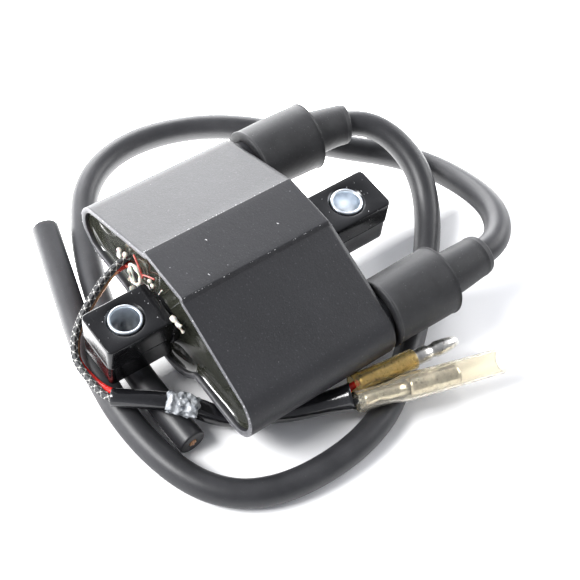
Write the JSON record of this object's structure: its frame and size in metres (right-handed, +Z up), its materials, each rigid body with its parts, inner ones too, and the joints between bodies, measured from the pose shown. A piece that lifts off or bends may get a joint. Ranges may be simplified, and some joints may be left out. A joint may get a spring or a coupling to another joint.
{
  "type": "ignition coil",
  "caption": "Potted twin-output ignition coil with a black case that has sloping facets and a round belly, two sleeved mounting lugs, two booted high-tension leads and a sleeved pair of primary leads.",
  "frame": {"origin": "centre of the footprint of the coil without its leads, on the surface it stands on", "axes": "+X across the case towards the right-hand outlet seen from the potted end, +Y along the core from the potted end to the high-tension outlets, +Z up"},
  "size_m": [0.1186, 0.121, 0.0334],
  "materials": {
    "case_plastic": "matt, fine moulded grain",
    "lug_plastic": "matt, slightly scuffed",
    "steel_sleeve": "bright turned ends",
    "core_steel": "rolled sheet",
    "bobbin_plastic": "moulded",
    "winding_wire": "enamelled copper",
    "tape": "polyester tape",
    "tinned_metal": "tinned, bright",
    "brass": "plain",
    "boot_rubber": "matt",
    "lead_jacket": "soft sheen",
    "copper_strand": "bare copper",
    "pvc_black": "gloss",
    "fibre_braid": "black and white varnished braid",
    "red_jacket": "gloss",
    "clear_vinyl": "clear, slightly yellow",
    "clear_glue": "clear hot-melt",
    "resin_cream": "cured resin beads",
    "potting_resin": "glossy cast surface"
  },
  "bodies": {
    "root": {"case": "case_plastic", "front_lug": "lug_plastic", "rear_lug": "lug_plastic", "front_lug_sleeve": "steel_sleeve", "rear_lug_sleeve": "steel_sleeve", "core_laminations": "core_steel", "primary_bobbin": "bobbin_plastic", "primary_winding": "winding_wire", "primary_tape": "tape", "secondary_bobbin": "bobbin_plastic", "secondary_winding": "winding_wire", "primary_pins": "tinned_metal", "ht_strip_left": "brass", "ht_strip_right": "brass", "ht_spike_left": "brass", "ht_spike_right": "brass", "ht_boot_left": "boot_rubber", "ht_boot_right": "boot_rubber", "ht_lead_left": "lead_jacket", "ht_lead_right": "lead_jacket", "ht_conductor_left": "copper_strand", "ht_conductor_right": "copper_strand", "pvc_sleeve": "pvc_black", "braided_lead": "fibre_braid", "braided_lead_wire": "copper_strand", "red_lead": "red_jacket", "red_lead_wire": "copper_strand", "female_terminal": "tinned_metal", "female_insulator": "clear_vinyl", "male_terminal": "tinned_metal", "male_insulator": "clear_vinyl", "glue_blob": "clear_glue", "resin_lumps": "resin_cream", "potting": "potting_resin"}
  },
  "joints": []
}
